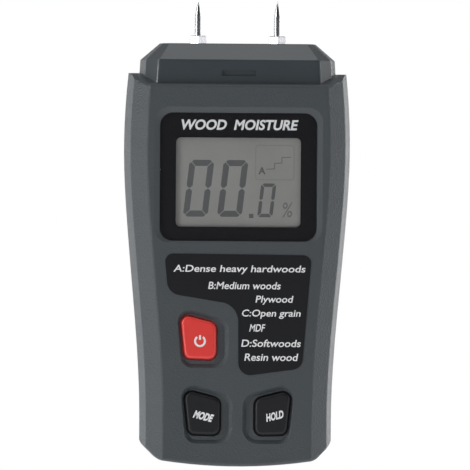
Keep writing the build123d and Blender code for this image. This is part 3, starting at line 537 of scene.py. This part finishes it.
# %% [markdown]
# ## Display characters
# A digit of a liquid-crystal display is a ring of bars.  Their ends are cut at
# 45 degrees where they meet at the digit's corners, the outer corners are cut
# off, and the upright bars taper to a neck at the middle.  That follows a rule,
# so a Geometry Nodes tree builds it: a small flat polygon for each bar, whose
# corners are shares of the digit's width, height, stroke and gap.  The small
# digit after the point comes from the same tree with other numbers.


# %% A small helper for Geometry Nodes trees
class Recipe:
    """A Geometry Nodes tree with named number inputs."""

    def __init__(self, name, numbers):
        self.tree = bpy.data.node_groups.new(name, "GeometryNodeTree")
        face = self.tree.interface
        face.new_socket("Geometry", in_out="OUTPUT", socket_type="NodeSocketGeometry")
        self.keys = {}
        for number in numbers:
            made = face.new_socket(number, in_out="INPUT", socket_type="NodeSocketFloat")
            self.keys[number] = made.identifier
        self.inputs = self.tree.nodes.new("NodeGroupInput")
        self.output = self.tree.nodes.new("NodeGroupOutput")

    def number(self, name):
        return self.inputs.outputs[name]

    def node(self, kind, settings=(), inputs=(), out=0):
        """Add a node: settings first, then socket values or links."""
        node = self.tree.nodes.new(kind)
        for setting, value in dict(settings).items():
            setattr(node, setting, value)
        for socket, value in dict(inputs).items():
            for source in value if isinstance(value, list) else [value]:
                if isinstance(source, bpy.types.NodeSocket):
                    self.tree.links.new(source, node.inputs[socket])
                else:
                    node.inputs[socket].default_value = source
        return node.outputs[out]

    def total(self, shares):
        """The sum of the tree's numbers, each times its share."""
        result = 0.0
        for name, share in shares.items():
            result = self.node("ShaderNodeMath", {"operation": "MULTIPLY_ADD"},
                               {0: self.number(name), 1: share, 2: result})
        return result

    def vector(self, x=0.0, y=0.0, z=0.0):
        return self.node("ShaderNodeCombineXYZ", inputs={0: x, 1: y, 2: z})

    def polygon(self, corners):
        """A filled polygon: a mesh circle whose points are moved to the corners in turn."""
        pick = self.tree.nodes.new("GeometryNodeIndexSwitch")
        pick.data_type = "VECTOR"
        while len(pick.index_switch_items) < len(corners):
            pick.index_switch_items.new()
        self.tree.links.new(self.node("GeometryNodeInputIndex"), pick.inputs[0])
        for number, (across, up) in enumerate(corners):
            spot = self.vector(self.total(across), self.total(up))
            self.tree.links.new(spot, pick.inputs[number + 1])
        ring = self.node("GeometryNodeMeshCircle", {"fill_type": "NGON"},
                         {"Vertices": len(corners)})
        return self.node("GeometryNodeSetPosition",
                         inputs={"Geometry": ring, "Position": pick.outputs[0]})

    def finish(self, geometry, ink):
        """End the tree: real geometry with its material."""
        real = self.node("GeometryNodeRealizeInstances", inputs={0: geometry})
        painted = self.node("GeometryNodeSetMaterial",
                            inputs={"Geometry": real, "Material": ink.material})
        self.tree.links.new(painted, self.output.inputs[0])

    def grow(self, name, numbers):
        """Run the tree with these numbers and return its result as a plain mesh."""
        carrier = bpy.data.objects.new(name, bpy.data.meshes.new(name + "_seed"))
        bpy.context.scene.collection.objects.link(carrier)
        modifier = carrier.modifiers.new("grow", "NODES")
        modifier.node_group = self.tree
        for number, value in numbers.items():
            modifier[self.keys[number]] = value
        shapes = bpy.context.evaluated_depsgraph_get()
        mesh = bpy.data.meshes.new_from_object(carrier.evaluated_get(shapes))
        carrier.modifiers.remove(modifier)
        bpy.data.objects.remove(carrier)
        return mesh


# %% The corners of each bar
CUT = 0.3       # cut off the digit's outer corners, in strokes
NECK = 0.12     # half the width left at the middle, in strokes


def flipped(corners, across, up):
    """The same bar on the other side of the digit; a mirror image runs the other way round."""
    turned = [({name: share * across for name, share in x.items()},
               {name: share * up for name, share in z.items()}) for x, z in corners]
    return turned if across * up > 0 else turned[::-1]


TOP_RIGHT_END = [
    ({"Width": 0.5, "Stroke": -1, "Gap": -1}, {"Height": 0.5, "Stroke": -1}),
    ({"Width": 0.5, "Stroke": -CUT, "Gap": -1}, {"Height": 0.5, "Stroke": -CUT}),
    ({"Width": 0.5, "Stroke": -2 * CUT, "Gap": -1}, {"Height": 0.5}),
]
TOP_BAR = TOP_RIGHT_END + flipped(TOP_RIGHT_END, -1, 1)
UPPER_RIGHT_BAR = [
    ({"Width": 0.5, "Stroke": NECK - 0.5}, {"Gap": 1}),
    ({"Width": 0.5}, {"Gap": 1, "Stroke": 0.5 - NECK}),
    ({"Width": 0.5}, {"Height": 0.5, "Stroke": -2 * CUT, "Gap": -1}),
    ({"Width": 0.5, "Stroke": -CUT}, {"Height": 0.5, "Stroke": -CUT, "Gap": -1}),
    ({"Width": 0.5, "Stroke": -1}, {"Height": 0.5, "Stroke": -1, "Gap": -1}),
    ({"Width": 0.5, "Stroke": -1}, {"Gap": 1, "Stroke": 0.5 - NECK}),
    ({"Width": 0.5, "Stroke": -0.5 - NECK}, {"Gap": 1}),
]
ZERO_BARS = [TOP_BAR, flipped(TOP_BAR, 1, -1)]
ZERO_BARS += [flipped(UPPER_RIGHT_BAR, across, up) for across in (1, -1) for up in (1, -1)]
print("a zero has", len(ZERO_BARS), "bars")


# %% The digit tree
def digit_recipe(name, bars, ink):
    """A tree that builds the listed bars of one digit."""
    recipe = Recipe(name, ("Width", "Height", "Stroke", "Gap", "Lean", "Thick"))
    shapes = [recipe.polygon(corners) for corners in bars]
    joined = recipe.node("GeometryNodeJoinGeometry", inputs={0: shapes})
    spot = recipe.node("GeometryNodeInputPosition")
    up = recipe.node("ShaderNodeSeparateXYZ", inputs={0: spot}, out=1)
    sideways = recipe.node("ShaderNodeMath", {"operation": "MULTIPLY"},
                           {0: up, 1: recipe.number("Lean")})
    leaning = recipe.node("GeometryNodeSetPosition",
                          inputs={"Geometry": joined, "Offset": recipe.vector(x=sideways)})
    solid = recipe.node("GeometryNodeExtrudeMesh", inputs={
        "Mesh": leaning, "Offset": recipe.vector(z=1.0), "Offset Scale": recipe.number("Thick"),
        "Individual": False})
    back = recipe.node("GeometryNodeFlipFaces", inputs={0: leaning})
    whole = recipe.node("GeometryNodeJoinGeometry", inputs={0: [solid, back]})
    closed = recipe.node("GeometryNodeMergeByDistance", inputs={0: whole, "Distance": 1e-7})
    recipe.finish(closed, ink)
    return recipe


# %% The reading 00.0
CHARACTER_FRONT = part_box("display_front_film")[0][1]
# painted shadow: each digit's faint shadow on the reflector is an offset copy of the digit in
# shadow ink
SHADOW_RIGHT = 0.35 * MM     # each digit throws a faint shadow on the reflector
SHADOW_DOWN = 0.3 * MM
GAP = 0.14 * MM
LEAN = tan(radians(6.7))
zero = digit_recipe("zero", ZERO_BARS, display_ink)
READING = (          # name, middle (x, z), width, height and stroke, in mm
    ("digit_tens", -11.35, 79.75, 7.1, 16.3, 1.75),
    ("digit_units", -1.55, 79.75, 7.1, 16.3, 1.75),
    ("digit_tenths", 8.25, 76.4, 4.4, 9.7, 1.0),
)
for name, x, z, width, height, stroke in READING:
    mesh = zero.grow(name, {"Width": width * MM, "Height": height * MM, "Stroke": stroke * MM,
                            "Gap": GAP, "Lean": LEAN, "Thick": INK_THICK})
    mesh.transform(stand_up)
    mesh.transform(Matrix.Translation((x * MM, CHARACTER_FRONT, z * MM)))
    # the painted shadow: a copy of the digit in shadow ink, set a little right, down and behind it
    shadow = mesh.copy()
    shadow.transform(Matrix.Translation((SHADOW_RIGHT, INK_THICK / 2, -SHADOW_DOWN)))
    keep(mesh, name, display_ink, "housing")
    keep(shadow, name + "_shadow", shadow_ink, "housing")
    print(name, len(mesh.polygons), "faces")

# %% Point, per cent sign and the wood setting with its steps
POINT = [(3.15 * MM, 71.9 * MM), (4.45 * MM, 71.9 * MM)]
keep(ribbon_mesh("decimal_point", POINT, 1.2 * MM, CHARACTER_FRONT), "decimal_point",
     display_ink, "housing")
lettering("per_cent", "%", (14.2 * MM, 73.7 * MM), 3.4 * MM, 4.3 * MM, CHARACTER_FRONT, "housing",
          light_ink, lean=0.1, weight=0.005)
lettering("setting_letter", "A", (6.8 * MM, 84.9 * MM), 2.1 * MM, 2.1 * MM, CHARACTER_FRONT,
          "housing", display_ink, lean=0.0, weight=0.03)
STEP_POINTS = ((8.0, 85.3), (10.4, 85.45), (10.4, 87.0), (12.5, 87.15), (12.5, 88.7), (15.1, 88.8))
steps = [(x * MM, z * MM) for x, z in STEP_POINTS]
keep(ribbon_mesh("setting_steps", steps, 0.28 * MM, CHARACTER_FRONT), "setting_steps",
     light_ink, "housing")
SETTING_BOX = rounded_frame(5.0 * MM, 16.0 * MM, 82.3 * MM, 92.2 * MM, 0.9 * MM)
keep(ribbon_mesh("setting_box", SETTING_BOX, 0.22 * MM, CHARACTER_FRONT, closed=True),
     "setting_box", faint_ink, "housing")
print("display characters done")

# %% [markdown]
# ## Studio
# The meter hangs a little above a pale floor, so that its battery door stays in
# sight when it slides off downwards.  Tall soft lights stand at the sides and
# behind, for the bevels and the bright rims, one hangs overhead for the
# shoulders, and two narrow strips draw the white lines on the needles.  The
# surroundings look white to the camera but are dim in front, because black keys
# and a glossy lens would turn grey with them.


# %% A pale floor
FLOOR_RADIUS = 2.5
FLOOR_GLOW = 0.6
FLOOR_DROP = 0.07            # below the meter, more than the battery door slides down


def pale_floor():
    """A round floor some way below the meter."""
    mesh = bpy.data.meshes.new("pale_floor")
    floor_z = cad_box[0][2] - FLOOR_DROP
    rim = [(x, y, floor_z) for x, y in round_path((0, 0), FLOOR_RADIUS, 0, 2 * pi, 64)[:-1]]
    mesh.from_pydata(rim, [], [range(len(rim))])
    floor = bpy.data.objects.new("pale_floor", mesh)
    bpy.context.scene.collection.objects.link(floor)
    paper = Finish("white_paper", (0.8, 0.8, 0.8), 0.9, Emission_Color=(1, 1, 1, 1),
                   Emission_Strength=FLOOR_GLOW)
    mesh.materials.append(paper.material)


pale_floor()


# %% Lights and surroundings
def soft_light(name, place, target, width, height, power):
    """A rectangular white soft box aimed at a point."""
    data = bpy.data.lights.new(name, "AREA")
    data.shape = "RECTANGLE"
    data.size = width
    data.size_y = height
    data.energy = power
    light = bpy.data.objects.new(name, data)
    bpy.context.scene.collection.objects.link(light)
    light.location = place
    aim = Vector(target) - Vector(place)
    light.rotation_euler = aim.to_track_quat("-Z", "Y").to_euler()


centre = Vector([(a + b) / 2 for a, b in zip(*cad_box)])
SOFT_LIGHTS = (      # name, place, width and height in metres, power in watts
    ("window_box", (-0.65, -0.4, 0.65), 0.22, 0.22, 1.4),
    ("left_box", (-0.8, -0.4, 0.15), 0.12, 0.7, 4.4),
    ("right_box", (0.85, -0.05, 0.15), 0.2, 0.7, 1.5),
    ("left_rim_box", (-0.5, 0.5, 0.1), 0.2, 0.8, 1.55),
    ("right_rim_box", (0.5, 0.5, 0.1), 0.2, 0.8, 3.4),
    ("shoulder_box", (0.0, -0.2, 1.0), 0.7, 0.4, 1.5),
    ("left_needle_strip", (-0.5, -0.85, 0.15), 0.1, 0.5, 0.2),
    ("right_needle_strip", (0.75, -0.43, 0.15), 0.1, 0.5, 0.3),
)
for name, place, width, height, power in SOFT_LIGHTS:
    soft_light(name, place, centre, width, height, power)
print("set", len(SOFT_LIGHTS), "soft lights")

# %% White surroundings, bright at the sides and dim in front
SURROUND = 1.0               # what the camera sees
IN_FRONT = 0.06              # what lights the meter, from the front
AT_SIDES = 1.1               # and from the sides
BEHIND = 0.3                 # share of that left behind the meter
AT_LEFT = 0.75               # share of that left far to the left
world = bpy.data.worlds.new("studio")
world.use_nodes = True
surround = world.node_tree.nodes["Background"]
surround.inputs["Color"].default_value = (1, 1, 1, 1)


def world_node(kind, out, settings, inputs):
    """One node of the surroundings, its sockets set or linked, and one of its outputs."""
    node = world.node_tree.nodes.new(kind)
    for setting, value in settings.items():
        setattr(node, setting, value)
    for socket, value in inputs.items():
        if isinstance(value, bpy.types.NodeSocket):
            world.node_tree.links.new(value, node.inputs[socket])
        else:
            node.inputs[socket].default_value = value
    return node.outputs[out]


def ramp(value, start, end, low, high):
    """A number that goes from low to high while the value goes from start to end."""
    return world_node("ShaderNodeMapRange", "Result", {}, {
        "Value": value, "From Min": start, "From Max": end, "To Min": low, "To Max": high})


def times(first, second):
    """Two numbers multiplied."""
    return world_node("ShaderNodeMath", "Value", {"operation": "MULTIPLY"}, {0: first, 1: second})


# Depth runs from -1 in front to 1 behind, sideways from -1 at the left to 1 at the right.
direction = world_node("ShaderNodeTexCoord", "Generated", {}, {})
depth = world_node("ShaderNodeSeparateXYZ", "Y", {}, {0: direction})
sideways = world_node("ShaderNodeSeparateXYZ", "X", {}, {0: direction})
glow = times(ramp(depth, -0.6, 0.5, IN_FRONT, AT_SIDES), ramp(depth, 0.2, 0.6, 1.0, BEHIND))
glow = times(glow, ramp(sideways, -0.9, -0.4, AT_LEFT, 1.0))
seen = world_node("ShaderNodeLightPath", "Is Camera Ray", {}, {})
world.node_tree.links.new(ramp(seen, 0.0, 1.0, glow, SURROUND), surround.inputs["Strength"])
bpy.context.scene.world = world
bpy.context.scene.view_settings.view_transform = "Standard"

# %% Camera
VIEW_WIDTH = 0.1353          # width seen at the meter, in metres
DISTANCE = 3.0               # far away, so that nothing looks tapered
TURN = radians(-2.3)         # a little to the meter's left
ROLL = radians(0.4)
camera_data = bpy.data.cameras.new("camera")
camera_data.sensor_width = 36.0
camera_data.lens = camera_data.sensor_width * DISTANCE / VIEW_WIDTH
camera = bpy.data.objects.new("camera", camera_data)
bpy.context.scene.collection.objects.link(camera)
aim = Vector((-0.4 * MM, 0.0, 66.4 * MM))
camera.location = aim + DISTANCE * Vector((sin(TURN), -cos(TURN), 0))
look = (aim - camera.location).to_track_quat("-Z", "Y").to_matrix().to_4x4()
camera.rotation_euler = (look @ Matrix.Rotation(ROLL, 4, "Z")).to_euler()
bpy.context.scene.camera = camera
print("camera", round(camera_data.lens), "mm lens at", DISTANCE, "m")
